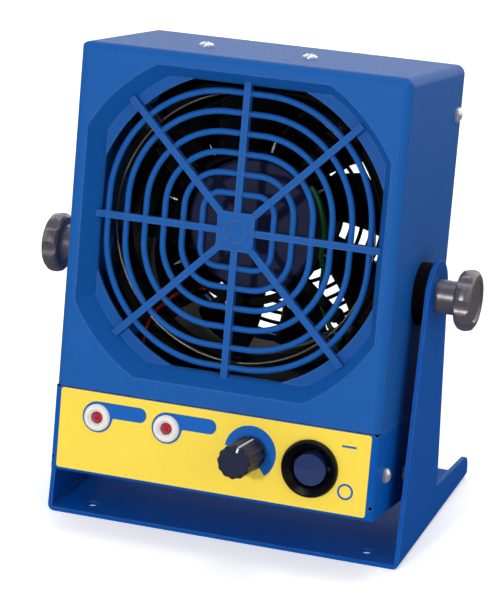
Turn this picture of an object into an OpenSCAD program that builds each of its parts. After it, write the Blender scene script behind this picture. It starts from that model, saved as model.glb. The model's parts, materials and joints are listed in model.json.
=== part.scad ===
// Benchtop ionizing blower: a moulded housing over a sheet-metal control chassis,
// held by two clamp knobs in a U-shaped stand.
// Origin on the surface it stands on, under the tilt axis, midway between the arms.
// +X to the right seen from the front, +Y to the rear, +Z up.

/* [Housing] */
// Width of the housing
housing_w = 150; // [146:1:156]
// Depth of the housing, front face to rear edge
housing_d = 85.5; // [83:0.5:90]
// Height of housing and control chassis together
housing_h = 191.5; // [188:0.5:196]
// Height of the control chassis under the moulded housing
chassis_h = 38.5; // [38:0.5:40]
// Rounding of the outer edges of the housing
edge_r = 4; // [2:0.5:5]
// Wall of the moulded housing
wall = 2.5; // [2:0.1:2.8]
// Backward tilt of the housing in the stand, in degrees
tilt = 9.7; // [0:0.1:12]

/* [Finger guard] */
// Depth of the recess in front of the guard
recess_depth = 11; // [10:0.5:12]
// Half width of the recess at the front face
recess_half = 69; // [68:0.5:70]
// Half width of the recess at its floor
floor_half = 63.6; // [63:0.1:64]
// Number of rings
ring_count = 6; // [4:1:6]
// Half width of the smallest ring
ring_first = 16.3; // [15:0.1:17]
// Distance from ring to ring
ring_step = 8.78; // [8:0.01:8.8]
// Half length of the straight side of every ring
ring_flat = 8; // [6:0.5:9]
// Diameter of a ring bar
ring_bar = 2.7; // [2:0.1:3]
// Width of a radial spoke
spoke_w = 3; // [2.4:0.1:3.4]
// Width of the square hub of the guard
guard_hub = 17; // [15:0.5:18]

/* [Fan] */
// Side of the square fan frame
fan_size = 120; // [119:0.5:120]
// Distance between the fan's mounting holes
fan_pitch = 105; // [104.8:0.1:105.2]
// Depth of the fan frame
fan_d = 38; // [36:0.5:38]
// Number of fan blades
blade_count = 9; // [5:1:9]
// Radius of the impeller's hub
hub_r = 30; // [28:0.5:30.5]
// Radius at the blade tips
blade_tip_r = 56.6; // [54:0.1:57]

/* [Emitter] */
// Number of emitter needles
needle_count = 8; // [4:4:8]
// Radius of the ring that holds the needles
emitter_r = 33; // [32.5:0.1:33.5]
// Radius of the wire counter electrode
electrode_r = 59.6; // [58:0.1:60]

/* [Stand] */
// Outside width of the stand
stand_w = 166.4; // [166:0.2:168]
// Thickness of the stand's sheet metal
stand_t = 2; // [1.6:0.1:2.2]
// Height of the tilt axis above the bench
pivot_h = 113.5; // [112:0.5:118]
// Reach of the base in front of the tilt axis
base_front = 43; // [39:0.5:46]
// Reach of the base behind the tilt axis
base_rear = 69.5; // [66:0.5:74]
// Radius of the rounded top of each arm
arm_r = 15.5; // [14:0.5:18]
// Distance between the base holes across the stand
base_hole_x = 131; // [124:1:136]
// Distance between the base holes from front to rear
base_hole_y = 92; // [84:1:94]
// Diameter of the base holes
base_hole_d = 5.5; // [4.5:0.5:6.5]

/* [Controls] */
// Diameter of the flow knob at its base
knob_d = 15; // [13:0.5:16]
// Length of the flow knob
knob_len = 20.5; // [14:0.5:22]
// Diameter of the power switch bezel
switch_d = 25.6; // [24:0.2:27]
// Diameter of a lamp bezel
lamp_d = 12; // [10:0.5:13]

/* [Hidden] */
$fn = 64;

half_w = housing_w / 2;
pivot_y = 45;
pivot_z = 94;
washer_r = 14;
seam = 0.3;
sheet = 1.5;
duct_z = chassis_h + (housing_h - chassis_h) / 2 + 1;
floor_t = 2;
opening_r = 68.5;
fan_y = 30;
fan_hole = fan_pitch / 2;
electrode_y = 19;
electrode_wire = 0.5;
lamp_x = [-54, -21.3];
lamp_z = 26.8;
knob_x = 17.9;
knob_z = 22.2;
switch_x = 45.5;
switch_z = 19.5;
inlet_x = 46;
inlet_z = 19;
side_screws = [[15, 18], [47, 12]];
top_screw_x = [-30, 18];
top_screw_y = 36;
cover_tab_z = [60, 170];
cover_tab_y = 78;
blue = [0.10, 0.33, 0.66];
dark = [0.09, 0.10, 0.16];
steel = [0.78, 0.79, 0.80];

// Housing frame: x across, y from the front face to the rear, z up from the chassis bottom
module in_housing() {
    translate([0, 0, pivot_h]) rotate([-tilt, 0, 0]) translate([0, -pivot_y, -pivot_z]) children();
}

module rod_y(x, z, y0, y1, r) {
    translate([x, y0, z]) rotate([-90, 0, 0]) cylinder(h = y1 - y0, r = r);
}

module rod_x(y, z, x0, x1, r) {
    translate([x0, y, z]) rotate([0, 90, 0]) cylinder(h = x1 - x0, r = r);
}

module rod_z(x, y, z0, z1, r) {
    translate([x, y, z0]) cylinder(h = z1 - z0, r = r);
}

// Turns a shape drawn round +Z so that it lies round the duct axis, with +Z to the rear
module round_duct(y) {
    translate([0, y, duct_z]) rotate([-90, 0, 0]) children();
}

// Pan head on the plane z = 0, with a cross recess, and its shank below
module pan_screw(head_r, head_h, shank_r, shank_len) {
    dome = head_h * 0.6;
    ball = (head_r * head_r + dome * dome) / (2 * dome);
    difference() {
        intersection() {
            translate([0, 0, head_h - ball]) sphere(r = ball);
            cylinder(h = head_h + 1, r = head_r);
        }
        for (a = [0, 90])
            rotate([0, 0, a]) translate([-head_r * 0.55, -head_r * 0.13, head_h * 0.45])
                cube([head_r * 1.1, head_r * 0.26, head_h]);
    }
    translate([0, 0, -shank_len]) cylinder(h = shank_len, r = shank_r);
}

module square_block(w, d, r, h) {
    linear_extrude(height = h) rounded_square(w, d, r);
}

// Rounded rectangle, centred, made of two bars and four corner circles
module rounded_square(w, d, r) {
    square([w - 2 * r, d], center = true);
    square([w, d - 2 * r], center = true);
    for (x = [-1, 1], y = [-1, 1])
        translate([x * (w / 2 - r), y * (d / 2 - r)]) circle(r = r);
}

// ---------------------------------------------------------------- stand

// Side view of one arm with its low rear flange, in the plane (y, z)
module arm_outline() {
    lean = asin((base_front - arm_r) / pivot_h);
    flange_h = 17;
    flange_end = 12;
    corner = 6;
    foot = 3;
    difference() {
        union() {
            translate([0, pivot_h]) circle(r = arm_r);
            polygon([
                [-base_front, foot],
                [-base_front, 0],
                [base_rear, 0],
                [base_rear, flange_end - corner],
                [base_rear - corner, flange_end],
                [arm_r, flange_h],
                [arm_r, pivot_h],
                [0, pivot_h],
                [-arm_r * cos(lean), pivot_h + arm_r * sin(lean)]
            ]);
            translate([base_rear - corner, flange_end - corner]) circle(r = corner);
        }
        translate([0, pivot_h]) circle(r = 3.1);
    }
}

module stand_arm(side) {
    translate([side * (stand_w - stand_t) / 2, 0, 0]) rotate([90, 0, 90])
        linear_extrude(height = stand_t, center = true) arm_outline();
}

module stand_bracket() {
    hole_y0 = (base_rear - base_front) / 2;
    color(blue) difference() {
        intersection() {
            union() {
                translate([-stand_w / 2, -base_front, 0])
                    cube([stand_w, base_front + base_rear, stand_t]);
                for (side = [-1, 1]) stand_arm(side);
            }
            // bend radius along both lower edges
            translate([0, base_rear, 0]) rotate([90, 0, 0])
                linear_extrude(height = base_front + base_rear + 2)
                    union() {
                        translate([0, pivot_h]) square([stand_w, 2 * pivot_h - 6], center = true);
                        translate([0, 10]) square([stand_w - 6, 20], center = true);
                        for (x = [-1, 1]) translate([x * (stand_w / 2 - 3), 3]) circle(r = 3);
                    }
        }
        for (x = [-1, 1], y = [-1, 1])
            rod_z(x * base_hole_x / 2, hole_y0 + y * base_hole_y / 2, -1, stand_t + 1, base_hole_d / 2);
    }
}

// ---------------------------------------------------------------- moulded housing

// Solid of the housing's outer form, shrunk by t on every face but the rear
module housing_form(t, rear) {
    r = max(edge_r - t, 1);
    w = housing_w - 2 * t;
    z0 = chassis_h + seam / 2;
    z1 = housing_h - t;
    intersection() {
        // front view: rounded upper corners
        translate([0, rear, 0]) rotate([90, 0, 0]) linear_extrude(height = rear) union() {
            translate([-w / 2, z0]) square([w, z1 - r - z0]);
            translate([-w / 2 + r, z0]) square([w - 2 * r, z1 - z0]);
            for (x = [-1, 1]) translate([x * (w / 2 - r), z1 - r]) circle(r = r);
        }
        // plan view: rounded front corners
        linear_extrude(height = housing_h + 1) union() {
            translate([-w / 2, t + r]) square([w, rear - t - r]);
            translate([-w / 2 + r, t]) square([w - 2 * r, rear - t]);
            for (x = [-1, 1]) translate([x * (w / 2 - r), t + r]) circle(r = r);
        }
        // side view: rounded upper front edge
        translate([-half_w, 0, 0]) rotate([90, 0, 90]) linear_extrude(height = housing_w) union() {
            translate([t, 0]) square([rear - t, z1 - r]);
            translate([t + r, 0]) square([rear - t - r, z1]);
            translate([t + r, z1 - r]) circle(r = r);
        }
    }
}

// Octagonal recess with gently arced corners: a square pyramid cut by a cone
module recess_form(extra, depth) {
    shrink = (recess_half - floor_half) / recess_depth;
    a = recess_half + extra;
    b = a - shrink * depth;
    translate([0, 0, duct_z]) intersection() {
        rotate([-90, 0, 0]) cylinder(h = depth, r1 = a * 1.149, r2 = b * 1.155);
        translate([0, 0, -a]) linear_extrude(height = 2 * a)
            polygon([[-a, 0], [a, 0], [b, depth], [-b, depth]]);
        translate([-a, 0, 0]) rotate([90, 0, 90]) linear_extrude(height = 2 * a)
            polygon([[0, -a], [0, a], [depth, b], [depth, -b]]);
    }
}

// One ring: four straight bars joined by four quarter bends
module guard_ring(half) {
    bend = half - ring_flat;
    for (a = [0:90:270]) rotate([0, 0, a]) {
        translate([half, 0, 0]) rotate([90, 0, 0])
            cylinder(h = 2 * ring_flat, r = ring_bar / 2, center = true);
        translate([ring_flat, ring_flat, 0]) rotate_extrude(angle = 90)
            translate([bend, 0]) circle(r = ring_bar / 2);
    }
}

module guard_bars() {
    spoke_h = 3.6;
    cut = guard_hub * 0.08;
    round_duct(recess_depth - 0.8) {
        for (i = [0:ring_count - 1]) guard_ring(ring_first + i * ring_step);
        for (a = [0:90:270]) rotate([0, 0, a])
            translate([0, -spoke_w / 2, -2.2]) cube([floor_half + 1.5, spoke_w, spoke_h]);
        for (a = [45:90:315]) rotate([0, 0, a])
            translate([0, -spoke_w / 2, -2.2]) cube([floor_half * 1.155 + 1, spoke_w, spoke_h]);
        // hub with clipped corners and a shallow raised ring
        translate([0, 0, -2.8]) linear_extrude(height = 4.4) intersection() {
            square(guard_hub, center = true);
            rotate([0, 0, 45]) square(guard_hub * sqrt(2) - 2 * cut, center = true);
        }
        translate([0, 0, -3.2]) difference() {
            cylinder(h = 1, r = 5.6);
            translate([0, 0, -1]) cylinder(h = 3, r = 4.4);
        }
    }
}

// Free space that the recess and the opening in its floor leave in the housing
module guard_space() {
    recess_form(0, recess_depth);
    intersection() {
        rod_y(0, duct_z, 0, recess_depth + 10, opening_r);
        translate([-floor_half, 0, duct_z - floor_half])
            cube([2 * floor_half, recess_depth + 10, 2 * floor_half]);
    }
}

// The guard grows out of the recess walls, so its bars end exactly on them
module finger_guard() {
    color(blue) in_housing() intersection() {
        guard_bars();
        guard_space();
    }
}

module fan_boss(x, z) {
    rod_y(x, z, recess_depth + floor_t / 2, fan_y, 4.5);
}

// Inner tongue that the chassis screws into
module side_tongue(side) {
    x = side > 0 ? half_w - sheet - 3.5 : -half_w + sheet;
    translate([x, 7, 7]) cube([3.5, 48, chassis_h + 6 - 7]);
}

module upper_housing() {
    color(blue) in_housing() difference() {
        union() {
            difference() {
                housing_form(0, housing_d);
                difference() {
                    translate([0, 0, -wall - 1]) housing_form(wall, housing_d + 10);
                    recess_form(wall, recess_depth + floor_t);
                }
                difference() {
                    housing_form(wall, housing_d + 10);
                    recess_form(wall, recess_depth + floor_t);
                }
                guard_space();
            }
            for (x = [-1, 1], z = [-1, 1]) fan_boss(x * fan_hole, duct_z + z * fan_hole);
            for (side = [-1, 1]) side_tongue(side);
            // pads behind the side walls that carry the pivot inserts
            for (side = [-1, 1])
                rod_x(pivot_y, pivot_z, side > 0 ? half_w - 8 : -half_w + 1,
                    side > 0 ? half_w - 1 : -half_w + 8, 11);
            // bosses under the top wall for the two top screws
            for (x = top_screw_x) rod_z(x, top_screw_y, housing_h - 9, housing_h - 1, 4);
        }
        round_duct(electrode_y) for (a = [45:90:315]) at_angle(a)
            translate([electrode_r, 0, 0]) rotate([0, 90, 0]) cylinder(h = 11.2, r = electrode_wire);
        for (side = [-1, 1]) rod_x(pivot_y, pivot_z, side * half_w - 12, side * half_w + 12, 5);
        for (x = [-1, 1], z = [-1, 1])
            rod_y(x * fan_hole, duct_z + z * fan_hole, recess_depth + floor_t + 2, fan_y + 1, 1.8);
        for (p = side_screws) rod_x(p[0], p[1], -half_w - 1, half_w + 1, 1.55);
        for (z = cover_tab_z) rod_x(cover_tab_y, z, -half_w - 1, half_w + 1, 1.8);
        for (x = top_screw_x) rod_z(x, top_screw_y, housing_h - 8, housing_h + 1, 1.55);
        translate([10.6, 19.8, housing_h - wall - 1]) cube([4, 1, wall + 2]);
    }
}

module rear_cover() {
    gap = 0.2;
    w = housing_w - 2 * wall - 2 * gap;
    z0 = chassis_h + 1;
    z1 = housing_h - wall - gap;
    color(blue) in_housing() difference() {
        union() {
            translate([0, housing_d, (z0 + z1) / 2]) rotate([90, 0, 0])
                square_block(w, z1 - z0, 1.2, wall);
            for (side = [-1, 1], z = cover_tab_z)
                translate([side > 0 ? w / 2 - 2.5 : -w / 2, cover_tab_y - 6, z - 6])
                    cube([2.5, housing_d - wall - cover_tab_y + 6.5, 12]);
            // screw bosses of the wire guard
            for (x = [-1, 1], z = [-1, 1])
                rod_y(x * fan_hole, duct_z + z * fan_hole, housing_d - 9, housing_d - 1, 4);
        }
        rod_y(0, duct_z, housing_d - 12, housing_d + 1, blade_tip_r + 1.4);
        for (x = [-1, 1], z = [-1, 1])
            rod_y(x * fan_hole, duct_z + z * fan_hole, housing_d - 8, housing_d + 1, 1.55);
        for (side = [-1, 1], z = cover_tab_z)
            rod_x(cover_tab_y, z, side > 0 ? w / 2 - 4 : -w / 2 - 1, side > 0 ? w / 2 + 1 : -w / 2 + 4, 1.55);
    }
}

// ---------------------------------------------------------------- control chassis

// Folded sheet-metal box, open at the top, with relief holes at its front corners
module control_chassis() {
    top = chassis_h - seam / 2;
    fold = 2;
    color(blue) in_housing() difference() {
        intersection() {
            translate([0, housing_d / 2, 0]) square_block(housing_w, housing_d, fold, top);
            translate([-half_w, 0, 0]) rotate([90, 0, 90]) linear_extrude(height = housing_w)
                translate([housing_d / 2, top / 2 + fold]) rounded_square(housing_d, top + 2 * fold, fold);
        }
        translate([0, housing_d / 2, sheet])
            square_block(housing_w - 2 * sheet, housing_d - 2 * sheet, 0.6, top);
        for (x = lamp_x) rod_y(x, lamp_z, -1, 5, 4);
        rod_y(knob_x, knob_z, -1, 5, 3.6);
        rod_y(switch_x, switch_z, -1, 5, 10);
        for (x = [-1, 1]) rod_y(x * (half_w - 1.2), 6, -1, 5, 0.8);
        for (x = [-1, 1]) rod_y(x * (half_w - 1.2), top, -1, 5, 0.9);
        translate([inlet_x, housing_d - 5, inlet_z]) rotate([-90, 0, 0])
            square_block(27.6, 20.2, 2, 10);
        for (x = [-1, 1]) rod_y(inlet_x + x * 20, inlet_z, housing_d - 5, housing_d + 1, 1.6);
        for (p = side_screws) rod_x(p[0], p[1], -half_w - 1, half_w + 1, 1.8);
        for (p = standoff_at) rod_z(p[0], p[1], -1, 5, 1.6);
    }
}

// Flat partition between the air duct and the electronics
module divider_plate() {
    t = 1.5;
    inset = wall + 0.2;
    color(steel) in_housing() difference() {
        translate([-half_w + inset, 16, chassis_h + 6])
            cube([housing_w - 2 * inset, 58, t]);
        for (x = [-44, 44]) rod_z(x, 21.4, chassis_h, chassis_h + 10, 2.6);
    }
}

// Thin printed overlay with clear holes for lamps, knob and switch
module control_label() {
    color([1.0, 0.87, 0.36]) in_housing() difference() {
        translate([0, 0, 19.8]) rotate([90, 0, 0]) square_block(143.8, 36.2, 1.2, 0.3);
        for (x = lamp_x) rod_y(x, lamp_z, -1, 1, 4);
        rod_y(knob_x, knob_z, -1, 1, 5.6);
        rod_y(switch_x, switch_z, -1, 1, 10);
    }
}

module lamp_bezels() {
    color("white") in_housing() for (x = lamp_x)
        translate([x, 0, lamp_z]) rotate([90, 0, 0]) rotate_extrude() polygon([
            [2.7, -9], [3.95, -9], [3.95, 0.3], [lamp_d / 2, 0.3], [lamp_d / 2, 1.1],
            [lamp_d / 2 - 0.5, 2.2], [lamp_d / 2 - 1.5, 2.9], [4.0, 2.9], [2.7, 1.2]
        ]);
}

module lamp_lenses() {
    color([0.72, 0.10, 0.18]) in_housing() for (x = lamp_x)
        translate([x, 0, lamp_z]) rotate([90, 0, 0]) {
            translate([0, 0, -8]) cylinder(h = 8.4, r = 2.5);
            intersection() {
                translate([0, 0, -0.4]) sphere(r = 2.5);
                cylinder(h = 5, r = 3);
            }
            translate([0, 0, -9.2]) cylinder(h = 1.2, r = 2.65);
        }
}

module flow_knob() {
    flutes = 12;
    back = 2;
    chamfer = 0.9;
    flute_r = 2.1;
    flute_depth = 0.6;
    color([0.10, 0.11, 0.16]) in_housing()
        translate([knob_x, -back, knob_z]) rotate([90, 0, 0]) difference() {
            union() {
                cylinder(h = 1.2, r = knob_d / 2 + 0.2);
                cylinder(h = knob_len - chamfer, r = knob_d / 2);
                translate([0, 0, knob_len - chamfer])
                    cylinder(h = chamfer, r1 = knob_d / 2, r2 = knob_d / 2 - chamfer);
            }
            for (i = [0:flutes - 1]) rotate([0, 0, (i + 0.5) * 360 / flutes])
                translate([knob_d / 2 + flute_r - flute_depth, 0, 1.2]) cylinder(h = knob_len, r = flute_r);
            translate([0, 0, -1]) cylinder(h = 13, r = 3);
            translate([0, 0, -1]) cylinder(h = 3, r = 5.2);
        }
}

module pot_shaft() {
    color(steel) in_housing() rod_y(knob_x, knob_z, -14, 12, 3);
}

module potentiometer() {
    color([0.25, 0.27, 0.30]) in_housing() difference() {
        union() {
            rod_y(knob_x, knob_z, -3, sheet, 3.55);
            rod_y(knob_x, knob_z, sheet, 14, 8.2);
            for (x = [-5, 0, 5]) translate([knob_x + x - 0.8, 8, knob_z - 12]) cube([1.6, 0.8, 5]);
        }
        rod_y(knob_x, knob_z, -4, 12.2, 3.05);
    }
}

module pot_nut() {
    color(steel) in_housing() difference() {
        translate([knob_x, 0, knob_z]) rotate([90, 0, 0]) cylinder(h = 1.8, r = 4.9, $fn = 6);
        rod_y(knob_x, knob_z, -3, 1, 3.55);
    }
}

// Round bezel with a conical mouth, in one piece with its barrel
module switch_bezel() {
    color([0.05, 0.06, 0.11]) in_housing()
        translate([switch_x, 0, switch_z]) rotate([90, 0, 0]) rotate_extrude() polygon([
            [8.6, -9], [9.9, -9], [9.9, 0.3], [switch_d / 2, 0.3], [switch_d / 2, 1.3],
            [switch_d / 2 - 0.4, 2.0], [switch_d / 2 - 1.3, 2.4], [8.6, -1.4]
        ]);
}

module switch_body() {
    color([0.10, 0.11, 0.13]) in_housing() translate([switch_x, 0, switch_z]) difference() {
        union() {
            rotate([-90, 0, 0]) translate([0, 0, 9]) cylinder(h = 11, r = 9.4);
            for (x = [-1, 1]) translate([x > 0 ? 7.5 : -8.3, 3, -2]) cube([0.8, 6.5, 4]);
            for (x = [-1, 1]) translate([x * 4 - 2.4, 20, -0.4]) cube([4.8, 7, 0.8]);
        }
        rod_x(4, 0, -9, 9, 1.25);
        rotate([-90, 0, 0]) translate([0, 0, 8]) cylinder(h = 6, r = 7);
    }
}

// Round rocker with two faces that meet over its pivot
module switch_rocker() {
    rest = 7;
    color([0.13, 0.20, 0.36]) in_housing()
        translate([switch_x, 4, switch_z]) rotate([rest, 0, 0]) {
            intersection() {
                rotate([90, 0, 0]) translate([0, 0, -4]) cylinder(h = 10, r = 7.2);
                translate([-8, 0, 0]) rotate([90, 0, 90]) linear_extrude(height = 16)
                    polygon([[3.5, -3], [3.5, 3], [0, 7.4], [-5.0, 7.4], [-4.3, 0], [-5.0, -7.4], [0, -7.4]]);
            }
            rod_x(0, 0, -8.2, 8.2, 1.2);
        }
}

// Appliance inlet: flange, socket walls and body
module power_inlet() {
    color([0.08, 0.08, 0.09]) in_housing() translate([inlet_x, housing_d, inlet_z]) difference() {
        union() {
            rotate([-90, 0, 0]) square_block(48, 24, 4, 3);
            translate([0, -20, 0]) rotate([-90, 0, 0]) square_block(27.2, 19.8, 2, 20);
        }
        translate([0, -15, 0]) rotate([-90, 0, 0]) linear_extrude(height = 20) polygon([
            [-12.2, -5.4], [-9.4, -8.2], [9.4, -8.2], [12.2, -5.4], [12.2, 8.2], [-12.2, 8.2]
        ]);
        for (x = [-1, 1]) rod_y(x * 20, 0, -1, 4, 1.8);
        for (p = pin_at) translate([p[0] - 2.05, -22, p[1] - 1.05]) cube([4.1, 10, 2.1]);
    }
}

pin_at = [[0, 3.2], [-7, -0.8], [7, -0.8]];

module inlet_pins() {
    color(steel) in_housing() for (p = pin_at)
        translate([inlet_x + p[0] - 2, housing_d - 25, inlet_z + p[1] - 1]) cube([4, 24, 2]);
}

module inlet_screws() {
    color(steel) in_housing() for (x = [-1, 1])
        translate([inlet_x + x * 20, housing_d + 3, inlet_z]) rotate([-90, 0, 0])
            pan_screw(2.6, 1.8, 1.5, 8);
}

// ---------------------------------------------------------------- electronics

standoff_at = [[-66, 32], [-66, 74], [16, 32], [16, 74]];

module board_standoffs() {
    color([0.85, 0.72, 0.35]) in_housing() for (p = standoff_at) difference() {
        union() {
            translate([p[0], p[1], sheet]) cylinder(h = 5.5, r = 3, $fn = 6);
            rod_z(p[0], p[1], 0.2, sheet, 1.55);
            rod_z(p[0], p[1], sheet + 5.5, sheet + 7.6, 1.4);
        }
        rod_z(p[0], p[1], -1, 4, 0.9);
    }
}

module circuit_board() {
    top = sheet + 5.5 + 1.6;
    color([0.10, 0.36, 0.20]) in_housing() {
        difference() {
            translate([-69.5, 27, sheet + 5.5]) cube([90.5, 52, 1.6]);
            for (p = standoff_at) rod_z(p[0], p[1], 0, 20, 1.5);
        }
        // capacitors, regulator and connector soldered to the board
        for (x = [-4, 8]) rod_z(x, 66, top, top + 14, 4.5);
        translate([-2, 36, top]) cube([14, 6, 10]);
        translate([-12, 50, top]) cube([24, 8, 6]);
    }
}

// Potted step-up transformer block with its two output posts
module high_voltage_module() {
    z0 = sheet + 5.5 + 1.6;
    color(dark) in_housing() {
        translate([-60, 36, z0]) cube([40, 34, 20]);
        for (x = [-52, -28]) rod_z(x, 41, z0 + 20, z0 + 25, 2.5);
    }
}

// ---------------------------------------------------------------- fan

module fan_frame() {
    duct_r = blade_tip_r + 1.2;
    flange = 4;
    mount_t = 4;
    color([0.07, 0.08, 0.12]) in_housing() round_duct(fan_y) difference() {
        union() {
            difference() {
                union() {
                    square_block(fan_size, fan_size, 4, flange);
                    translate([0, 0, fan_d - flange]) square_block(fan_size, fan_size, 4, flange);
                    cylinder(h = fan_d, r = fan_size / 2 - 0.1);
                    for (x = [-1, 1], y = [-1, 1])
                        translate([x * fan_hole, y * fan_hole, 0]) cylinder(h = fan_d, r = 5);
                }
                translate([0, 0, -1]) cylinder(h = fan_d + 2, r = duct_r);
                // flared mouths
                translate([0, 0, -0.01]) cylinder(h = 3, r1 = duct_r + 1.2, r2 = duct_r);
            }
            translate([0, 0, fan_d - mount_t]) cylinder(h = mount_t, r = 29);
            for (a = [20:90:290]) rotate([0, 0, a])
                translate([20, -2.5, fan_d - mount_t]) cube([duct_r - 19, 5, mount_t]);
            // tube that carries stator and bearing
            translate([0, 0, 12]) cylinder(h = fan_d - 12, r = 6);
        }
        for (x = [-1, 1], y = [-1, 1])
            translate([x * fan_hole, y * fan_hole, -1]) cylinder(h = fan_d + 2, r = 2.15);
        translate([0, 0, 0]) cylinder(h = fan_d - 2, r = 4);
        for (p = emitter_feet) translate([p[0], p[1], -1]) cylinder(h = 4, r = 1.2);
    }
}

module fan_stator() {
    poles = 4;
    color([0.62, 0.36, 0.18]) in_housing() round_duct(fan_y) difference() {
        union() {
            translate([0, 0, 14]) cylinder(h = 16, r = 12);
            for (i = [0:poles - 1]) rotate([0, 0, i * 360 / poles]) {
                translate([10, -3, 17]) cube([10, 6, 10]);
                intersection() {
                    translate([18, -9, 16]) cube([8, 18, 12]);
                    translate([0, 0, 10]) cylinder(h = 20, r = 23);
                }
            }
        }
        translate([0, 0, 10]) cylinder(h = 24, r = 6);
    }
}

module fan_bearing() {
    color([0.72, 0.58, 0.32]) in_housing() round_duct(fan_y) difference() {
        translate([0, 0, 12]) cylinder(h = 18, r = 4);
        translate([0, 0, 11]) cylinder(h = 20, r = 2.05);
    }
}

// Blade: sections at rising radii, each a cambered line with a thickness
blade_rows = 4;
blade_cols = 8;
blade_root_r = hub_r - 1;
blade_front = 5;
blade_rear = 31;
blade_t = 1.5;
blade_first = 15;

function blade_r(i) = blade_root_r + (blade_tip_r - blade_root_r) * i / blade_rows;
function blade_sweep(i) = (352 - 8 * i) / blade_count;
function blade_angle(i, u) = blade_sweep(i) * (u - 0.5 + 0.16 * sin(180 * u)) + 3 * i;
function blade_half(i, u) = (0.3 + 0.7 * sin(180 * u)) * blade_t / blade_r(i) * 28.6;
function blade_point(i, j, s) = let (
        u = j / blade_cols,
        a = blade_angle(i, u) + s * blade_half(i, u),
        r = blade_r(i)
    ) [r * cos(a), r * sin(a), blade_front + (blade_rear - blade_front) * u];
function blade_index(i, j, s) = (i * (blade_cols + 1) + j) * 2 + (s > 0 ? 1 : 0);

module fan_blade() {
    points = [for (i = [0:blade_rows], j = [0:blade_cols], s = [-1, 1]) blade_point(i, j, s)];
    last_i = blade_rows;
    last_j = blade_cols;
    sides = [for (s = [-1, 1], i = [0:last_i - 1], j = [0:last_j - 1], k = [0, 1]) let (
            a = blade_index(i, j, s),
            b = blade_index(i + 1, j, s),
            c = blade_index(i + 1, j + 1, s),
            d = blade_index(i, j + 1, s),
            f = k == 0 ? [a, b, c] : [a, c, d]
        ) s > 0 ? [f[0], f[1], f[2]] : [f[2], f[1], f[0]]];
    edges = [for (j = [0, last_j], i = [0:last_i - 1], k = [0, 1]) let (
            a = blade_index(i, j, -1),
            b = blade_index(i + 1, j, -1),
            c = blade_index(i + 1, j, 1),
            d = blade_index(i, j, 1),
            f = k == 0 ? [a, b, c] : [a, c, d]
        ) j == 0 ? f : [f[2], f[1], f[0]]];
    caps = [for (i = [0, last_i], j = [0:last_j - 1], k = [0, 1]) let (
            a = blade_index(i, j, -1),
            b = blade_index(i, j, 1),
            c = blade_index(i, j + 1, 1),
            d = blade_index(i, j + 1, -1),
            f = k == 0 ? [a, b, c] : [a, c, d]
        ) i == 0 ? f : [f[2], f[1], f[0]]];
    polyhedron(points = points, faces = concat(sides, edges, caps), convexity = 4);
}

module impeller() {
    color([0.13, 0.14, 0.20]) in_housing() round_duct(fan_y) {
        difference() {
            union() {
                translate([0, 0, 2.5]) cylinder(h = 29, r = hub_r);
                translate([0, 0, 1]) cylinder(h = 1.5, r1 = hub_r - 1.5, r2 = hub_r);
            }
            translate([0, 0, 4]) cylinder(h = 30, r = hub_r - 3);
            translate([0, 0, -1]) cylinder(h = 12, r = 2);
        }
        difference() {
            translate([0, 0, 3.5]) cylinder(h = 6, r = 4.5);
            translate([0, 0, 0]) cylinder(h = 12, r = 2);
        }
        for (i = [0:blade_count - 1]) rotate([0, 0, blade_first + i * 360 / blade_count]) fan_blade();
    }
}

module fan_shaft() {
    color(steel) in_housing() round_duct(fan_y) translate([0, 0, 1.6]) cylinder(h = 28, r = 2);
}

module fan_screws() {
    color(steel) in_housing() for (x = [-1, 1], z = [-1, 1])
        translate([x * fan_hole, fan_y + fan_d, duct_z + z * fan_hole]) rotate([-90, 0, 0])
            pan_screw(3.6, 2.4, 1.8, fan_d + 10);
}

// ---------------------------------------------------------------- emitter

needle_first = 32.5;
arm_angles = [-38, 52, 142, 232];
foot_r = 63;
emitter_feet = [for (a = arm_angles) [foot_r * cos(a), -foot_r * sin(a)]];
ring_front = 24.6;
ring_back = 28.8;

// Angles are read from the front, counter-clockwise from +X
module at_angle(a) {
    rotate([0, 0, -a]) children();
}

module emitter_ring() {
    color([0.16, 0.19, 0.30]) in_housing() round_duct(ring_front) difference() {
        union() {
            difference() {
                cylinder(h = ring_back - ring_front, r = emitter_r + 1.6);
                translate([0, 0, -1]) cylinder(h = 10, r = emitter_r - 1.8);
            }
            for (a = arm_angles) at_angle(a) {
                translate([emitter_r, -2, 1]) cube([foot_r - emitter_r, 4, 3.2]);
                translate([54.4, 0, 0]) cylinder(h = 4.2, r = 3.2);
                translate([foot_r, 0, 1]) cylinder(h = fan_y - ring_front - 1, r = 3.4);
            }
        }
        for (i = [0:needle_count - 1]) at_angle(needle_first + i * 360 / needle_count)
            translate([emitter_r - 4, 0, 2.1]) rotate([0, 90, 0]) cylinder(h = 10, r = 0.6);
        for (a = arm_angles) at_angle(a)
            translate([foot_r, 0, -1]) cylinder(h = 10, r = 1.35);
    }
}

module emitter_needles() {
    color("silver") in_housing() round_duct(ring_front)
        for (i = [0:needle_count - 1]) at_angle(needle_first + i * 360 / needle_count)
            translate([emitter_r - 1.2, 0, 2.1]) rotate([0, 90, 0]) {
                cylinder(h = 5.2, r = 0.6);
                translate([0, 0, 5.2]) cylinder(h = 3, r1 = 0.6, r2 = 0.1);
            }
}

module emitter_screws() {
    color(steel) in_housing() round_duct(ring_front + 1) for (a = arm_angles)
        at_angle(a) translate([foot_r, 0, 0]) mirror([0, 0, 1]) pan_screw(2.4, 1.5, 1.2, 6.5);
}

module counter_electrode() {
    color([0.75, 0.76, 0.78]) in_housing() round_duct(electrode_y) {
        rotate_extrude() translate([electrode_r, 0]) circle(r = electrode_wire);
        for (a = [45:90:315]) at_angle(a)
            translate([electrode_r, 0, 0]) rotate([0, 90, 0]) cylinder(h = 11.2, r = electrode_wire);
    }
}

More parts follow.
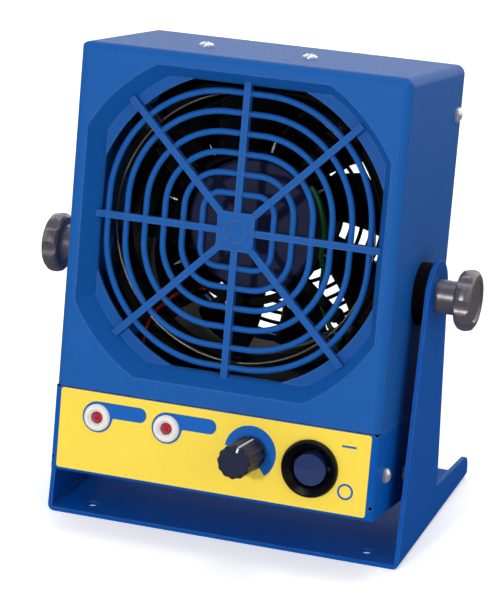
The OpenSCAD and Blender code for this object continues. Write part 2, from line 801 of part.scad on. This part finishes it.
// Tube of radius r swept along a list of points
tube_sides = 8;
function unit(v) = v / norm(v);
function tangent(p, i) = unit(p[min(i + 1, len(p) - 1)] - p[max(i - 1, 0)]);
function tube_ring(p, i, r, ref) = let (
        t = tangent(p, i),
        n = unit(cross(t, ref)),
        b = cross(t, n)
    ) [for (k = [0:tube_sides - 1]) let (a = 360 * k / tube_sides) p[i] + r * (cos(a) * n + sin(a) * b)];

module tube(p, r, ref) {
    n = len(p);
    s = tube_sides;
    points = [for (i = [0:n - 1]) each tube_ring(p, i, r, ref)];
    walls = [for (i = [0:n - 2], k = [0:s - 1], m = [0, 1]) let (
            a = i * s + k,
            b = i * s + (k + 1) % s
        ) m == 0 ? [a, a + s, b + s] : [a, b + s, b]];
    ends = [[for (k = [0:s - 1]) k], [for (k = [s - 1:-1:0]) (n - 1) * s + k]];
    polyhedron(points = points, faces = concat(walls, ends), convexity = 6);
}

// Point beside the emitter ring at an angle read from the front
function on_ring(a, r, y) = [r * cos(a), y, duct_z + r * sin(a)];

// Point beside a strut: distance from the duct axis, offset below the strut, depth
function by_strut(a, r, off, y) = [r * cos(a) + off * sin(a), y, duct_z + r * sin(a) - off * cos(a)];

// Each lead rises from its high-voltage post through the divider, passes behind the recess wall
// and follows a strut to the ring
green_path = concat(
    [[-28, 41, 33.6], [-28, 41, 35.6], [-27, 40, 38.6], [-22, 37, 40.6], [0, 28, 41], [36, 22, 41],
        [41, 21.4, 41.4], [43.8, 21.4, 43.6], [44, 21.4, 47], [44, 22, 58], [44.6, 24.6, 67]],
    [by_strut(-38, 63, 6, 26.6), by_strut(-38, 56, 5.8, 27), by_strut(-38, 50, 4, 29.4),
        by_strut(-38, 45, 1.5, 30.3)],
    [on_ring(-33, 40.5, 30.3), on_ring(-26, 38.6, 29.2), on_ring(-21, 38, 26.8), on_ring(-17, 37, 24.4),
        on_ring(-13, 35.6, 23.2)],
    [for (a = [-8:6:34]) on_ring(a, emitter_r + 2.6, 23)],
    [on_ring(38, emitter_r + 2, 23.4)]
);
red_path = concat(
    [[-52, 41, 33.6], [-52, 41, 35.6], [-51, 39.6, 38.6], [-48, 34, 40.8], [-44.6, 25, 41.2],
        [-44, 21.8, 43.4], [-44, 21.4, 47], [-44, 22, 56], [-43.8, 24.4, 64]],
    [by_strut(232, 63, 5.2, 27), by_strut(232, 56, 5.2, 27.4), by_strut(232, 50, 4.4, 29.8),
        by_strut(232, 44, 3, 29.9), by_strut(232, 40, 1, 29.8), by_strut(232, 36.5, -3.4, 29.7),
        by_strut(232, 33.5, -5, 29.6)]
);

module green_lead() {
    color([0.08, 0.42, 0.22]) in_housing() tube(green_path, 1.2, [0.2, 1, 0.1]);
}

module red_lead() {
    color([0.80, 0.16, 0.12]) in_housing() tube(red_path, 0.8, [0.9, 0.3, 0.1]);
}

// ---------------------------------------------------------------- rear guard and fasteners

module rear_wire_guard() {
    wire = 0.9;
    wire_pitch = 4.9;
    color(steel) in_housing() round_duct(housing_d + wire) {
        for (i = [0:9])
            translate([0, 0, 1.3]) rotate_extrude() translate([13.9 + i * wire_pitch, 0]) circle(r = wire);
        for (a = [45:90:315]) rotate([0, 0, a]) {
            translate([14, 0, 0]) rotate([0, 90, 0]) cylinder(h = fan_hole * sqrt(2) - 14 - 4, r = wire);
            translate([fan_hole * sqrt(2), 0, 0]) rotate_extrude() translate([3.4, 0]) circle(r = wire);
        }
    }
}

module guard_screws() {
    wire = 0.9;
    color(steel) in_housing() for (x = [-1, 1], z = [-1, 1])
        translate([x * fan_hole, housing_d + 2 * wire, duct_z + z * fan_hole]) rotate([-90, 0, 0])
            pan_screw(4.2, 2.2, 1.5, 8.5);
}

module rear_cover_screws() {
    color(steel) in_housing() for (side = [-1, 1], z = cover_tab_z)
        translate([side * half_w, cover_tab_y, z]) rotate([0, side * 90, 0])
            pan_screw(3.4, 2.6, 1.5, 5);
}

module top_screws() {
    color(steel) in_housing() for (x = top_screw_x)
        translate([x, top_screw_y, housing_h]) pan_screw(3.4, 2.2, 1.5, 7.5);
}

module chassis_screws() {
    color(steel) in_housing() for (side = [-1, 1], p = side_screws)
        translate([side * half_w, p[0], p[1]]) rotate([0, side * 90, 0])
            pan_screw(3.4, 2.6, 1.5, 4.5);
}

// ---------------------------------------------------------------- pivots

module pivot_inserts() {
    color([0.80, 0.66, 0.30]) in_housing() for (side = [-1, 1]) mirror([side > 0 ? 0 : 1, 0, 0])
        difference() {
            union() {
                rod_x(pivot_y, pivot_z, half_w - 12, half_w, 5);
                translate([half_w - 10.5, pivot_y, pivot_z]) rotate([0, 90, 0])
                    cylinder(h = 2.5, r = 7, $fn = 6);
            }
            rod_x(pivot_y, pivot_z, half_w - 13, half_w + 1, 3.05);
        }
}

module rubber_washers() {
    color([0.04, 0.04, 0.05]) in_housing() for (side = [-1, 1]) mirror([side > 0 ? 0 : 1, 0, 0])
        difference() {
            rod_x(pivot_y, pivot_z, half_w, stand_w / 2 - stand_t, washer_r);
            rod_x(pivot_y, pivot_z, half_w - 1, stand_w / 2, 3.4);
        }
}

// Die-cast clamp knob: neck, dished head with rounded rim and finger flutes
module clamp_knob(side) {
    lobes = 7;
    rim_r = 13.6;
    flute_r = 6;
    flute_depth = 1.5;
    x0 = stand_w / 2 + 0.1;
    color([0.55, 0.54, 0.56]) in_housing() mirror([side > 0 ? 0 : 1, 0, 0])
        translate([x0, pivot_y, pivot_z]) rotate([0, 90, 0]) difference() {
            rotate_extrude() polygon([
                [0, 0], [7.5, 0], [7.5, 8.5], [8.5, 9.5], [11.8, 9.8], [13.0, 10.8], [rim_r, 12.6],
                [rim_r, 14.4], [13.0, 16.2], [11.6, 17.2], [9.5, 17.4], [8.5, 16.6], [0, 16.6]
            ]);
            for (i = [0:lobes - 1]) rotate([0, 0, i * 360 / lobes + 20])
                translate([rim_r + flute_r - flute_depth, 0, 8.6]) cylinder(h = 10, r = flute_r);
            translate([0, 0, -1]) cylinder(h = 12, r = 3);
        }
}

module clamp_stud(side) {
    color(steel) in_housing() mirror([side > 0 ? 0 : 1, 0, 0])
        rod_x(pivot_y, pivot_z, half_w - 11, stand_w / 2 + 11, 3);
}

module left_clamp_knob() {
    clamp_knob(-1);
}

module right_clamp_knob() {
    clamp_knob(1);
}

module left_clamp_stud() {
    clamp_stud(-1);
}

module right_clamp_stud() {
    clamp_stud(1);
}

stand_bracket();
upper_housing();
finger_guard();
rear_cover();
control_chassis();
divider_plate();
control_label();
lamp_bezels();
lamp_lenses();
flow_knob();
pot_shaft();
potentiometer();
pot_nut();
switch_bezel();
switch_body();
switch_rocker();
power_inlet();
inlet_pins();
inlet_screws();
circuit_board();
board_standoffs();
high_voltage_module();
fan_frame();
fan_stator();
fan_bearing();
impeller();
fan_shaft();
fan_screws();
emitter_ring();
emitter_needles();
emitter_screws();
counter_electrode();
green_lead();
red_lead();
rear_wire_guard();
guard_screws();
rear_cover_screws();
top_screws();
chassis_screws();
pivot_inserts();
rubber_washers();
left_clamp_knob();
left_clamp_stud();
right_clamp_knob();
right_clamp_stud();
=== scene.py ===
"""Looks of the benchtop ionizing blower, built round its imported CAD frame. Lengths in metres."""

import json
import math

import bmesh
import bpy
from mathutils import Euler, Matrix, Vector


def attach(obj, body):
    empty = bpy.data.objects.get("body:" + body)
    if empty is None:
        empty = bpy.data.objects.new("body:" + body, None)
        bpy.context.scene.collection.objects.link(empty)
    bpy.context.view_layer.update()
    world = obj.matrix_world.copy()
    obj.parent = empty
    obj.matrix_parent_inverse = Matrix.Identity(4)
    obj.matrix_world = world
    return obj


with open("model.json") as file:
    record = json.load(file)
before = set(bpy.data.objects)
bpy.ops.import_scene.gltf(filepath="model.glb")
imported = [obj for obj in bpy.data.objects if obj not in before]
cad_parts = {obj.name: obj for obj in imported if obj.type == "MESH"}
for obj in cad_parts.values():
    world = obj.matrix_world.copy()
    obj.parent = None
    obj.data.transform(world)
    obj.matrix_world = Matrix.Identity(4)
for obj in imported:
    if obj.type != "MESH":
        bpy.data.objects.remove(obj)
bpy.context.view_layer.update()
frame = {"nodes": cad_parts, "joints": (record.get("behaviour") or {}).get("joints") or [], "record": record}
NODES = frame["nodes"]
JOINTS = {j["name"]: j for j in frame["joints"]}
MM = 0.001

# ------------------------------------------------------------------ camera

CAMERA_PLACE = (0.38453, -1.12461, 0.52475)
CAMERA_TURN = (70.296, -1.5896, 19.6166)
LENS = 169.15


def make_camera():
    data = bpy.data.cameras.new("camera")
    data.lens = LENS
    data.sensor_width = 36
    data.sensor_fit = "AUTO"
    data.clip_end = 20
    cam = bpy.data.objects.new("camera", data)
    cam.location = CAMERA_PLACE
    cam.rotation_euler = Euler([math.radians(a) for a in CAMERA_TURN])
    bpy.context.scene.collection.objects.link(cam)
    bpy.context.scene.camera = cam


# ------------------------------------------------------------------ materials


def srgb(r, g, b):
    def lin(v):
        v /= 255
        return v / 12.92 if v <= 0.04045 else ((v + 0.055) / 1.055) ** 2.4

    return (lin(r), lin(g), lin(b), 1)


def material(name, colour, rough=0.45, metal=0.0, spread=0.03, grain=900, bump=0.15, depth=0.00004,
             edge_wear_and_highlight=0.0, brush=None, coat=0.0, rough_spread=0.04, edge=0.0, specular=0.5):
    """Surface with colour drift, uneven gloss, fine relief, and, where the edge-lightening amount is over 0,
    lighter edges: partly rubbed paint at the edges, partly a painted highlight.
    """
    mat = bpy.data.materials.new(name)
    mat.use_nodes = True
    nt = mat.node_tree
    n, link = nt.nodes, nt.links.new
    bsdf = n["Principled BSDF"]
    bsdf.inputs["Metallic"].default_value = metal
    bsdf.inputs["Specular IOR Level"].default_value = specular
    bsdf.inputs["Coat Weight"].default_value = coat
    bsdf.inputs["Coat Roughness"].default_value = 0.15
    where = n.new("ShaderNodeTexCoord")

    def noise(scale, detail=4.0, stretch=None):
        tex = n.new("ShaderNodeTexNoise")
        tex.inputs["Scale"].default_value = scale
        tex.inputs["Detail"].default_value = detail
        source = where.outputs["Object"]
        if stretch:
            mapping = n.new("ShaderNodeMapping")
            mapping.inputs["Scale"].default_value = stretch
            link(source, mapping.inputs["Vector"])
            source = mapping.outputs["Vector"]
        link(source, tex.inputs["Vector"])
        return tex.outputs["Fac"]

    def ramp(fac, a, b, lo=0.3, hi=0.7):
        r = n.new("ShaderNodeMapRange")
        r.inputs["From Min"].default_value = lo
        r.inputs["From Max"].default_value = hi
        r.inputs["To Min"].default_value = a
        r.inputs["To Max"].default_value = b
        link(fac, r.inputs["Value"])
        return r.outputs["Result"]

    drift = n.new("ShaderNodeMix")
    drift.data_type = "RGBA"
    drift.inputs["A"].default_value = [c * (1 - spread) for c in colour[:3]] + [1]
    drift.inputs["B"].default_value = [min(1, c * (1 + spread)) for c in colour[:3]] + [1]
    link(ramp(noise(420, 6), 0, 1), drift.inputs["Factor"])
    base = drift.outputs["Result"]
    # edges mixed a quarter of the way to white, patchy by noise: partly rubbed paint, partly a painted
    # highlight where light catches the rounded edges
    if edge_wear_and_highlight:
        geo = n.new("ShaderNodeNewGeometry")
        round_edge = n.new("ShaderNodeBevel")
        round_edge.samples = 4
        round_edge.inputs["Radius"].default_value = 0.0009
        facing = n.new("ShaderNodeVectorMath")
        facing.operation = "DOT_PRODUCT"
        link(round_edge.outputs["Normal"], facing.inputs[0])
        link(geo.outputs["Normal"], facing.inputs[1])
        wear_and_highlight_mix = n.new("ShaderNodeMix")
        wear_and_highlight_mix.data_type = "RGBA"
        wear_and_highlight_mix.inputs["B"].default_value = [c + (1 - c) * 0.25 for c in colour[:3]] + [1]
        wear_and_highlight_mask = n.new("ShaderNodeMath")
        wear_and_highlight_mask.operation = "MULTIPLY"
        link(ramp(facing.outputs["Value"], edge_wear_and_highlight, 0, 0.8, 0.985), wear_and_highlight_mask.inputs[0])
        link(ramp(noise(160, 6), 0.2, 1), wear_and_highlight_mask.inputs[1])
        link(wear_and_highlight_mask.outputs["Value"], wear_and_highlight_mix.inputs["Factor"])
        link(base, wear_and_highlight_mix.inputs["A"])
        base = wear_and_highlight_mix.outputs["Result"]
    link(base, bsdf.inputs["Base Color"])
    link(ramp(noise(600, 4, brush), rough - rough_spread, rough + rough_spread), bsdf.inputs["Roughness"])
    relief = n.new("ShaderNodeBump")
    relief.inputs["Strength"].default_value = bump
    relief.inputs["Distance"].default_value = depth
    link(noise(grain, 3, brush), relief.inputs["Height"])
    if edge:
        soft = n.new("ShaderNodeBevel")
        soft.samples = 4
        soft.inputs["Radius"].default_value = edge
        link(soft.outputs["Normal"], relief.inputs["Normal"])
    link(relief.outputs["Normal"], bsdf.inputs["Normal"])
    return mat


# blue_plastic, blue_paint and knob_metal get lighter edges: partly rubbed finish, partly painted highlight
MAT = {
    "blue_plastic": material("blue_plastic", srgb(20, 90, 168), rough=0.48, bump=0.3, grain=1400,
                             edge_wear_and_highlight=0.5, edge=0.0006, specular=0.13),
    "blue_paint": material("blue_paint", srgb(4, 86, 174), rough=0.42, bump=0.35, grain=650,
                           edge_wear_and_highlight=0.5, edge=0.0006, specular=0.05),
    "bare_steel": material("bare_steel", srgb(226, 226, 232), rough=0.26, metal=0.65,
                           brush=(1, 6, 1), grain=500, specular=1.0),
    "dark_wire": material("dark_wire", srgb(28, 28, 32), rough=0.4, spread=0.1),
    "grey_wire": material("grey_wire", srgb(150, 142, 132), rough=0.4, metal=1.0),
    "yellow_film": material("yellow_film", srgb(255, 222, 76), rough=0.35, spread=0.02, grain=2400, bump=0.08,
                            specular=0.3),
    "white_plastic": material("white_plastic", srgb(240, 238, 234), rough=0.3, spread=0.02),
    "red_lens": material("red_lens", srgb(176, 22, 44), rough=0.12, spread=0.1, coat=0.6),
    "black_plastic": material("black_plastic", srgb(8, 8, 16), rough=0.34, spread=0.15, edge=0.0003,
                              specular=0.35),
    # near black with little gloss, for parts deep in the housing: partly their own black, partly painted
    # shade; the steel divider plate's black is painted shade only
    "inner_black_and_painted_shade": material("inner_black_and_painted_shade", srgb(4, 4, 7), rough=0.6, spread=0.1, specular=0.08),
    "green_board": material("green_board", srgb(22, 84, 48), rough=0.4),
    "brass": material("brass", srgb(200, 168, 96), rough=0.3, metal=1.0),
    "copper_winding": material("copper_winding", srgb(160, 88, 48), rough=0.4, metal=0.7, brush=(1, 1, 14)),
    "green_wire": material("green_wire", srgb(18, 84, 46), rough=0.5, specular=0.2),
    "red_wire": material("red_wire", srgb(132, 22, 22), rough=0.5, specular=0.2),
    "black_rubber": material("black_rubber", srgb(8, 8, 12), rough=0.75, spread=0.2, grain=1800, bump=0.4,
                             specular=0.1),
    "knob_metal": material("knob_metal", srgb(122, 115, 120), rough=0.34, metal=0.55, spread=0.14, grain=700,
                           bump=0.5, edge_wear_and_highlight=0.5, edge=0.0004, specular=0.7),
    "knob_plastic": material("knob_plastic", srgb(26, 30, 62), rough=0.4, spread=0.1, edge=0.0002,
                             specular=0.35),
    "blue_print": material("blue_print", srgb(16, 98, 186), rough=0.4, spread=0.03, specular=0.15),
    "white_print": material("white_print", srgb(235, 236, 238), rough=0.4, spread=0.02),
    "rocker_face": material("rocker_face", srgb(34, 56, 106), rough=0.22, spread=0.1, coat=0.3),
}


HUB_REACH = 0.0302  # just past the fan hub's radius


def fan_material():
    """Nearly black blades round a lighter hub, parted by the distance from the fan axis."""
    mat = material("fan_plastic", srgb(5, 5, 9), rough=0.5, spread=0.15, specular=0.12)
    nt = mat.node_tree
    n, link = nt.nodes, nt.links.new
    bsdf = n["Principled BSDF"]
    where = n.new("ShaderNodeTexCoord")
    away = n.new("ShaderNodeVectorMath")
    away.operation = "SUBTRACT"
    link(where.outputs["Object"], away.inputs[0])
    away.inputs[1].default_value = JOINTS["fan_spin"]["pos_m"]
    across = n.new("ShaderNodeVectorMath")
    across.operation = "CROSS_PRODUCT"
    link(away.outputs["Vector"], across.inputs[0])
    across.inputs[1].default_value = JOINTS["fan_spin"]["axis"]
    reach = n.new("ShaderNodeVectorMath")
    reach.operation = "LENGTH"
    link(across.outputs["Vector"], reach.inputs[0])
    inside = n.new("ShaderNodeMath")
    inside.operation = "LESS_THAN"
    inside.inputs[1].default_value = HUB_REACH
    link(reach.outputs["Value"], inside.inputs[0])
    mix = n.new("ShaderNodeMix")
    mix.data_type = "RGBA"
    link(inside.outputs["Value"], mix.inputs["Factor"])
    link(bsdf.inputs["Base Color"].links[0].from_socket, mix.inputs["A"])
    mix.inputs["B"].default_value = srgb(36, 40, 74)
    link(mix.outputs["Result"], bsdf.inputs["Base Color"])
    return mat


MAT["fan_plastic"] = fan_material()


def dress_nodes():
    slots = {p["node"]: p["material_slot"] for p in frame["record"]["subparts"]}
    # the divider plate is steel, but is dressed near black as painted shade where it shows through a gap
    special = {"divider_plate": "inner_black_and_painted_shade", "fan_frame": "inner_black_and_painted_shade", "emitter_ring": "inner_black_and_painted_shade",
               "impeller": "fan_plastic", "rear_wire_guard": "dark_wire", "emitter_screws": "dark_wire",
               "counter_electrode": "grey_wire", "emitter_needles": "bare_steel",
               "flow_knob": "knob_plastic", "switch_rocker": "rocker_face"}
    for name, obj in NODES.items():
        obj.data.materials.clear()
        obj.data.materials.append(MAT[special.get(name, slots[name])])


# ------------------------------------------------------------------ pieces on the housing

KNOB_AT = (17.9, 0.0, 22.2)  # flow knob's axis on the front face
PANEL_TOP, PRINT_THICK = -0.3, 0.06  # the overlay's front, and how far the print stands out of it


def housing_matrix():
    """Row frame from housing millimetres: x across, y from the front face to the rear, z up."""
    axis = Vector(JOINTS["fan_spin"]["axis"])
    lean = math.atan2(-axis.z, axis.y)
    turn = Matrix.Rotation(-lean, 4, "X")
    start = Vector(JOINTS["flow_turn"]["pos_m"])
    return Matrix.Translation(start) @ turn @ Matrix.Scale(MM, 4) @ Matrix.Translation(-Vector(KNOB_AT))


HOUSING = housing_matrix()


def finish_piece(name, bm, mat, body):
    bmesh.ops.recalc_face_normals(bm, faces=bm.faces)
    mesh = bpy.data.meshes.new(name)
    bm.to_mesh(mesh)
    bm.free()
    mesh.transform(HOUSING)
    mesh.materials.append(MAT[mat])
    obj = bpy.data.objects.new(name, mesh)
    bpy.context.scene.collection.objects.link(obj)
    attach(obj, body)
    return obj


def print_flat(name, outlines):
    """Blue print on the panel overlay. Each outline is a list of (x, z)."""
    y, thick = PANEL_TOP, PRINT_THICK
    bm = bmesh.new()
    for outline in outlines:
        front = [bm.verts.new((x, y - thick, z)) for x, z in outline]
        back = [bm.verts.new((x, y, z)) for x, z in outline]
        bm.faces.new(front)
        bm.faces.new(back[::-1])
        count = len(outline)
        for i in range(count):
            j = (i + 1) % count
            bm.faces.new((front[i], back[i], back[j], front[j]))
    bmesh.ops.triangulate(bm, faces=bm.faces)
    return finish_piece(name, bm, "blue_print", "housing")


def arc(cx, cz, r, a0, a1, steps):
    return [(cx + r * math.cos(math.radians(a0 + (a1 - a0) * i / steps)),
             cz + r * math.sin(math.radians(a0 + (a1 - a0) * i / steps))) for i in range(steps + 1)]


def segments(outer, inner):
    """Quads between two open lines of the same length."""
    return [[outer[i], outer[i + 1], inner[i + 1], inner[i]] for i in range(len(outer) - 1)]


def lamp_field(x, end):
    """Disc round a lamp at x, level at its top with a bar that runs to a round end."""
    middle, disc, band, fillet = 26.95, 7.0, 3.35, 1.0
    low = middle + disc - 2 * band
    dip = math.degrees(math.asin((low - fillet - middle) / disc))
    corner = x + disc * math.cos(math.radians(dip)) + fillet
    return (arc(x, middle, disc, 90, 360 + dip, 48) + arc(corner, low - fillet, fillet, 180, 90, 6)
            + arc(end, low + band, band, -90, 90, 16))


def print_marks():
    x, _, z = KNOB_AT
    band_start, band_end = -52, 172
    line_left, line_right, line_low, line_high = 59, 65.5, 31.15, 32.05
    ring_x, ring_z = 62.2, 11.7
    print_flat("lamp_field_1", [lamp_field(-54.0, -34.4)])
    print_flat("lamp_field_2", [lamp_field(-21.3, -1.7)])
    print_flat("flow_mark", segments(arc(x, z, 11.9, band_start, band_end, 44),
                                     arc(x, z, 5.9, band_start, band_end, 44)))
    print_flat("switch_line", [[(line_left, line_low), (line_right, line_low),
                                (line_right, line_high), (line_left, line_high)]])
    print_flat("switch_ring", segments(arc(ring_x, ring_z, 3.6, 0, 360, 40),
                                       arc(ring_x, ring_z, 2.7, 0, 360, 40)))


def pointer_box(name, y, z):
    """Painted box on the flow knob, between two depths y and two heights z above its axis."""
    half, right_of_top = 0.42, 15
    lo = (KNOB_AT[0] - half, y[0], KNOB_AT[2] + z[0])
    hi = (KNOB_AT[0] + half, y[1], KNOB_AT[2] + z[1])
    bm = bmesh.new()
    bmesh.ops.create_cube(bm, size=1)
    middle = [(a + b) / 2 for a, b in zip(lo, hi)]
    for v in bm.verts:
        v.co = Vector([m + c * (b - a) for m, c, a, b in zip(middle, v.co, lo, hi)])
    turn = Matrix.Rotation(math.radians(right_of_top), 3, "Y")
    bmesh.ops.rotate(bm, cent=Vector(KNOB_AT), matrix=turn, verts=bm.verts)
    return finish_piece(name, bm, "white_print", "flow_control")


def knob_pointer():
    pointer_box("knob_line", (-21.9, -3.3), (6.5, 7.15))
    pointer_box("knob_line_end", (-22.55, -21.9), (4.6, 6.7))


# ------------------------------------------------------------------ stage and light


STAGE_GREY = 0.93
CAMERA_LIFT = 0.42  # light added where the camera sees the stage
HALF_STAGE = 9


def stage_material(name, mirrored, glow):
    """White to the camera; smooth surfaces see its tone scaled by mirrored, plus glow."""
    mat = bpy.data.materials.new(name)
    mat.use_nodes = True
    nt = mat.node_tree
    bsdf = nt.nodes["Principled BSDF"]
    bsdf.inputs["Roughness"].default_value = 0.7
    ray = nt.nodes.new("ShaderNodeLightPath")
    either = nt.nodes.new("ShaderNodeMath")
    either.operation = "MAXIMUM"
    nt.links.new(ray.outputs["Is Camera Ray"], either.inputs[0])
    nt.links.new(ray.outputs["Is Transmission Ray"], either.inputs[1])
    lift = nt.nodes.new("ShaderNodeMath")
    lift.operation = "MULTIPLY"
    lift.inputs[1].default_value = CAMERA_LIFT
    nt.links.new(either.outputs["Value"], lift.inputs[0])
    shine = nt.nodes.new("ShaderNodeMath")
    shine.operation = "MULTIPLY_ADD"
    shine.inputs[1].default_value = glow
    nt.links.new(ray.outputs["Is Glossy Ray"], shine.inputs[0])
    nt.links.new(lift.outputs["Value"], shine.inputs[2])
    bsdf.inputs["Emission Color"].default_value = (1, 1, 1, 1)
    nt.links.new(shine.outputs["Value"], bsdf.inputs["Emission Strength"])
    tone = nt.nodes.new("ShaderNodeMix")
    tone.data_type = "RGBA"
    nt.links.new(ray.outputs["Is Glossy Ray"], tone.inputs["Factor"])
    for socket, grey in (("A", STAGE_GREY), ("B", STAGE_GREY * mirrored)):
        tone.inputs[socket].default_value = (grey, grey, grey, 1)
    nt.links.new(tone.outputs["Result"], bsdf.inputs["Base Color"])
    return mat


def sheet(name, profile, mat):
    """Stage surface across x through a profile of (y, z)."""
    bm = bmesh.new()
    rows = [[bm.verts.new((x, y, z)) for y, z in profile] for x in (-HALF_STAGE, HALF_STAGE)]
    for i in range(len(profile) - 1):
        bm.faces.new((rows[0][i], rows[1][i], rows[1][i + 1], rows[0][i + 1]))
    mesh = bpy.data.meshes.new(name)
    bm.to_mesh(mesh)
    bm.free()
    for poly in mesh.polygons:
        poly.use_smooth = True
    mesh.materials.append(mat)
    obj = bpy.data.objects.new(name, mesh)
    bpy.context.scene.collection.objects.link(obj)


def make_stage():
    near, far, bend, height = -6.0, 1.0, 0.6, 3.0
    # smooth surfaces see a dark floor and a bright backdrop, as in a studio with a black table
    sheet("floor", [(near, 0.0), (far, 0.0)], stage_material("floor", 0.04, 0.0))
    wall = [(far + bend * math.sin(math.radians(a)), bend - bend * math.cos(math.radians(a)))
            for a in range(0, 91, 10)]
    sheet("backdrop", wall + [(far + bend, height)], stage_material("backdrop", 1.0, 0.7))


def lamp(name, place, watts, size):
    data = bpy.data.lights.new(name, "AREA")
    data.energy = watts
    data.shape = "DISK"
    data.size = size
    obj = bpy.data.objects.new(name, data)
    obj.location = place
    obj.rotation_euler = (Vector((0, 0, 0.11)) - Vector(place)).to_track_quat("-Z", "Y").to_euler()
    bpy.context.scene.collection.objects.link(obj)


def make_light():
    """Lamps aimed at the part's middle, and a white surround that smooth surfaces see dimmed."""
    lamp("key", (-0.25, -1.9, 0.75), 12.4, 0.12)
    lamp("top", (0.1, 0.2, 1.9), 9, 1.0)
    lamp("left", (-1.7, -0.6, 0.8), 3.4, 1.2)
    lamp("right", (1.6, -1.0, 0.9), 5.0, 1.2)
    world = bpy.data.worlds.new("world")
    bpy.context.scene.world = world
    world.use_nodes = True
    back = world.node_tree.nodes["Background"]
    back.inputs["Color"].default_value = (1, 1, 1, 1)
    ray = world.node_tree.nodes.new("ShaderNodeLightPath")
    fall = world.node_tree.nodes.new("ShaderNodeMapRange")
    fall.inputs["To Min"].default_value = 0.48
    fall.inputs["To Max"].default_value = 0.1
    world.node_tree.links.new(ray.outputs["Is Glossy Ray"], fall.inputs["Value"])
    seen = world.node_tree.nodes.new("ShaderNodeMath")
    seen.operation = "MAXIMUM"
    world.node_tree.links.new(ray.outputs["Is Camera Ray"], seen.inputs[0])
    world.node_tree.links.new(fall.outputs["Result"], seen.inputs[1])
    world.node_tree.links.new(seen.outputs["Value"], back.inputs["Strength"])


make_camera()
dress_nodes()
print_marks()
knob_pointer()
make_stage()
make_light()
bpy.context.scene.view_settings.view_transform = "Standard"
